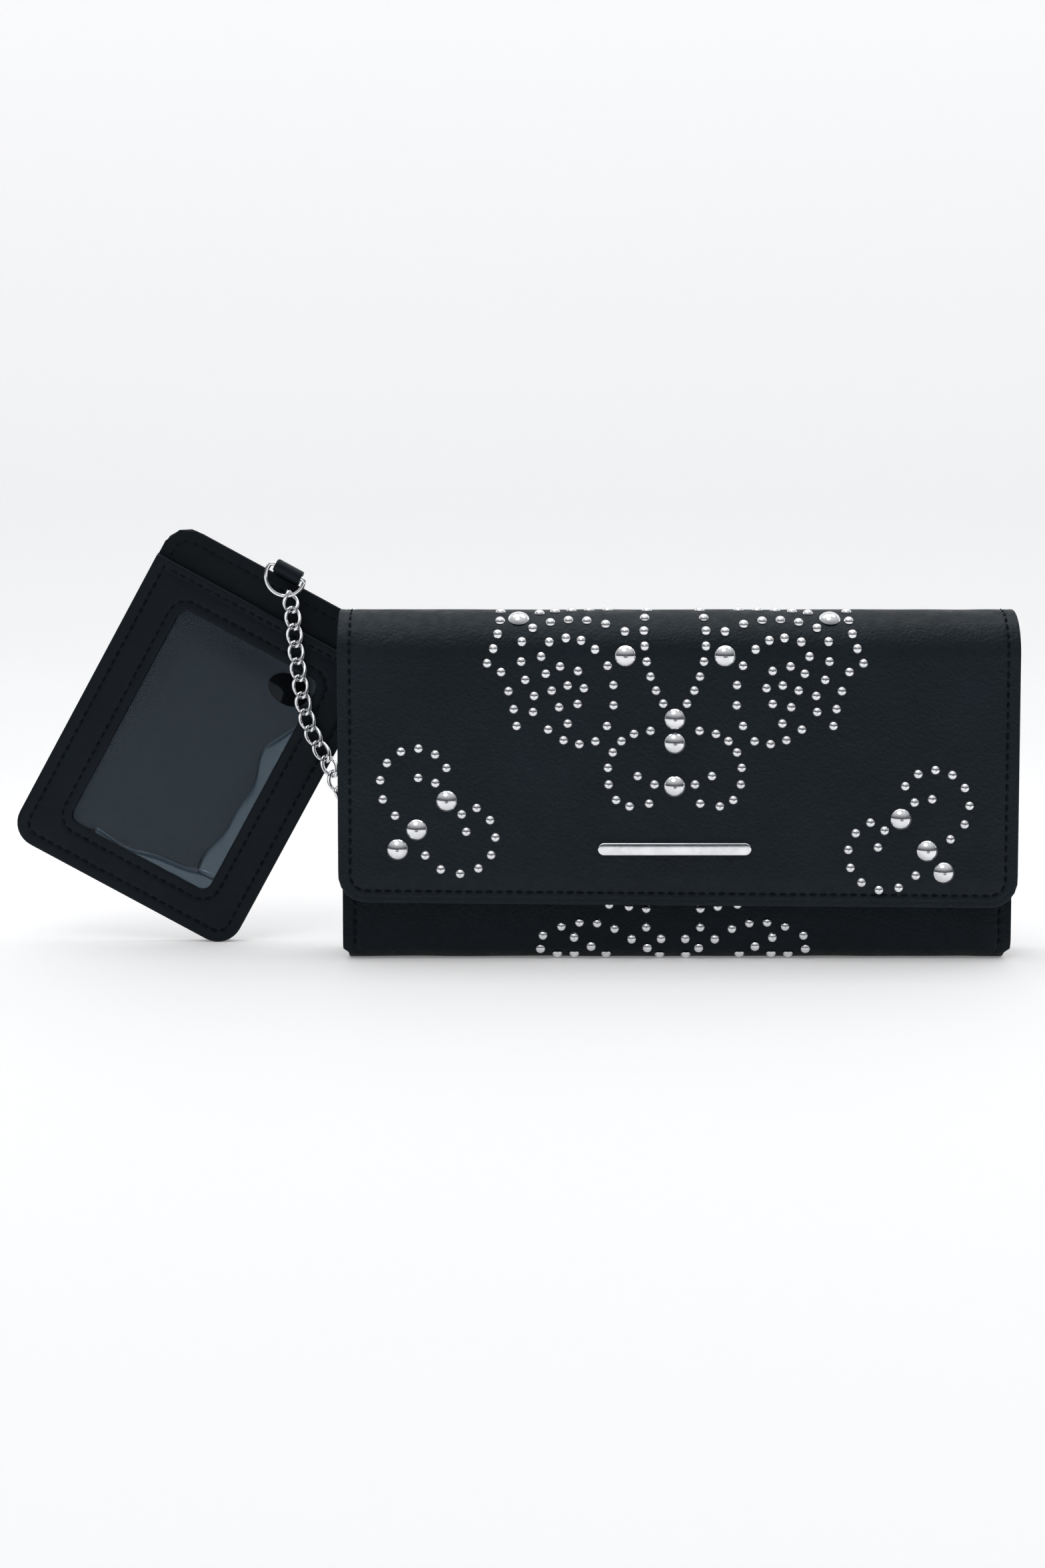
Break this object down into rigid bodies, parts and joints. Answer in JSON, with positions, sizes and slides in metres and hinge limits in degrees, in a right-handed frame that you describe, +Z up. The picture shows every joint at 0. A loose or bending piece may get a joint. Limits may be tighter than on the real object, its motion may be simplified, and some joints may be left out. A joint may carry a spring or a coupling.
{
  "type": "chain wallet",
  "caption": "Long flap wallet with a zipped coin pocket, domed studs, a curb chain on two D-rings and a leaning windowed card holder.",
  "frame": {"origin": "middle of the wallet's length on its flat base, where it stands upright", "axes": "+X along the wallet's length, to the right from the front; -Y out of the flap's face; +Z up"},
  "size_m": [0.2933, 0.0374, 0.1238],
  "materials": {
    "flap_leather": "soft pebbled leather, near black with a slight blue tint",
    "body_leather": "soft pebbled leather, near black",
    "pocket_leather": "smooth lining leather, near black",
    "lining_fabric": "plain woven lining, black",
    "foam": "thin padding, never seen",
    "zipper_fabric": "woven zipper tape, black",
    "zipper_metal": "bright nickel plate",
    "snap_metal": "nickel plate",
    "stud_metal": "polished nickel plate",
    "chain_metal": "polished nickel plate",
    "card_leather": "smooth fine-grained leather, black",
    "card_lining": "smooth lining leather, black",
    "clear_film": "clear flexible film"
  },
  "bodies": {
    "wallet": {"outer_shell": "body_leather", "shell_lining": "lining_fabric", "gusset_left": "body_leather", "gusset_right": "body_leather", "coin_pocket_front": "pocket_leather", "coin_pocket_back": "pocket_leather", "coin_pocket_welt": "pocket_leather", "zipper_tape": "zipper_fabric", "zipper_teeth": "zipper_metal", "card_panel": "pocket_leather", "card_pocket_high": "pocket_leather", "card_pocket_middle": "pocket_leather", "card_pocket_low": "pocket_leather", "snap_socket": "snap_metal", "snap_socket_washer": "snap_metal", "front_studs": "stud_metal", "chain_tab": "body_leather"},
    "flap": {"flap_leather": "flap_leather", "flap_foam": "foam", "flap_lining": "pocket_leather", "snap_stud": "snap_metal", "snap_stud_washer": "snap_metal", "flap_small_studs": "stud_metal", "flap_large_studs": "stud_metal", "nameplate": "stud_metal"},
    "zipper_slider": {"zipper_slider": "zipper_metal"},
    "zipper_pull": {"zipper_pull": "zipper_metal"},
    "wallet_ring": {"wallet_d_ring": "chain_metal"},
    "link_01": {"chain_link_01": "chain_metal"},
    "link_02": {"chain_link_02": "chain_metal"},
    "link_03": {"chain_link_03": "chain_metal"},
    "link_04": {"chain_link_04": "chain_metal"},
    "link_05": {"chain_link_05": "chain_metal"},
    "link_06": {"chain_link_06": "chain_metal"},
    "link_07": {"chain_link_07": "chain_metal"},
    "link_08": {"chain_link_08": "chain_metal"},
    "link_09": {"chain_link_09": "chain_metal"},
    "link_10": {"chain_link_10": "chain_metal"},
    "link_11": {"chain_link_11": "chain_metal"},
    "link_12": {"chain_link_12": "chain_metal"},
    "link_13": {"chain_link_13": "chain_metal"},
    "link_14": {"chain_link_14": "chain_metal"},
    "link_15": {"chain_link_15": "chain_metal"},
    "link_16": {"chain_link_16": "chain_metal"},
    "card_ring": {"card_d_ring": "chain_metal"},
    "card_holder": {"card_tab": "card_leather", "card_back": "card_leather", "card_divider": "card_lining", "card_welt": "card_lining", "card_film": "clear_film", "card_front": "card_leather"}
  },
  "joints": [
    {"name": "flap_hinge", "type": "hinge", "parent": "wallet", "child": "flap", "pos_m": [0, 0.0083, 0.09801], "axis": [1, 0, 0], "range_deg": [-160, 0]},
    {"name": "zipper_slide", "type": "slide", "parent": "wallet", "child": "zipper_slider", "axis": [1, 0, 0], "range_m": [-0.152, 0]},
    {"name": "pull_hinge", "type": "hinge", "parent": "zipper_slider", "child": "zipper_pull", "pos_m": [0.076, 0, 0.0834], "axis": [0, 1, 0], "range_deg": [0, 180]},
    {"name": "wallet_ring_swing", "type": "hinge", "parent": "wallet", "child": "wallet_ring", "pos_m": [-0.07737, 0.0157, 0.0525], "axis": [0, 0, -1], "range_deg": [0, 100]},
    {"name": "link_01_slide_round", "type": "hinge", "parent": "wallet_ring", "child": "link_01", "pos_m": [-0.07892, 0.0157, 0.0525], "axis": [0, 1, 0], "range_deg": [-22, 118]},
    {"name": "link_02_bend", "type": "hinge", "parent": "link_01", "child": "link_02", "pos_m": [-0.08575, 0.0157, 0.04492], "axis": [0, 1, 0], "range_deg": [-56, 16]},
    {"name": "link_03_bend", "type": "hinge", "parent": "link_02", "child": "link_03", "pos_m": [-0.09025, 0.0157, 0.04253], "axis": [0, -1, 0], "range_deg": [-3, 69]},
    {"name": "link_04_bend", "type": "hinge", "parent": "link_03", "child": "link_04", "pos_m": [-0.09533, 0.0157, 0.04297], "axis": [0, 1, 0], "range_deg": [-71, 1]},
    {"name": "link_05_bend", "type": "hinge", "parent": "link_04", "child": "link_05", "pos_m": [-0.09924, 0.0157, 0.04625], "axis": [0, -1, 0], "range_deg": [-4, 68]},
    {"name": "link_06_bend", "type": "hinge", "parent": "link_05", "child": "link_06", "pos_m": [-0.10081, 0.0157, 0.0511], "axis": [0, 1, 0], "range_deg": [-28, 44]},
    {"name": "link_07_bend", "type": "hinge", "parent": "link_06", "child": "link_07", "pos_m": [-0.10305, 0.0157, 0.05568], "axis": [0, -1, 0], "range_deg": [-40, 32]},
    {"name": "link_08_bend", "type": "hinge", "parent": "link_07", "child": "link_08", "pos_m": [-0.1056, 0.0157, 0.0601], "axis": [0, 1, 0], "range_deg": [-40, 32]},
    {"name": "link_09_bend", "type": "hinge", "parent": "link_08", "child": "link_09", "pos_m": [-0.10783, 0.0157, 0.06468], "axis": [0, -1, 0], "range_deg": [-26, 46]},
    {"name": "link_10_bend", "type": "hinge", "parent": "link_09", "child": "link_10", "pos_m": [-0.10924, 0.0157, 0.06959], "axis": [0, 1, 0], "range_deg": [-42, 30]},
    {"name": "link_11_bend", "type": "hinge", "parent": "link_10", "child": "link_11", "pos_m": [-0.11013, 0.0157, 0.07461], "axis": [0, -1, 0], "range_deg": [-34, 38]},
    {"name": "link_12_bend", "type": "hinge", "parent": "link_11", "child": "link_12", "pos_m": [-0.11084, 0.0157, 0.07966], "axis": [0, 1, 0], "range_deg": [-37, 35]},
    {"name": "link_13_bend", "type": "hinge", "parent": "link_12", "child": "link_13", "pos_m": [-0.11146, 0.0157, 0.08472], "axis": [0, -1, 0], "range_deg": [-35, 37]},
    {"name": "link_14_bend", "type": "hinge", "parent": "link_13", "child": "link_14", "pos_m": [-0.11199, 0.0157, 0.08979], "axis": [0, 1, 0], "range_deg": [-38, 34]},
    {"name": "link_15_bend", "type": "hinge", "parent": "link_14", "child": "link_15", "pos_m": [-0.11235, 0.0157, 0.09488], "axis": [0, -1, 0], "range_deg": [-38, 34]},
    {"name": "link_16_bend", "type": "hinge", "parent": "link_15", "child": "link_16", "pos_m": [-0.11288, 0.0157, 0.09995], "axis": [0, 1, 0], "range_deg": [-32, 40]},
    {"name": "card_ring_slide_round", "type": "hinge", "parent": "link_16", "child": "card_ring", "pos_m": [-0.11465, 0.0157, 0.11], "axis": [0, 1, 0], "range_deg": [-108, 30]},
    {"name": "card_holder_swing", "type": "hinge", "parent": "card_ring", "child": "card_holder", "pos_m": [-0.11391, 0.0157, 0.11136], "axis": [0.878, 0, -0.4787], "range_deg": [0, 70]}
  ]
}
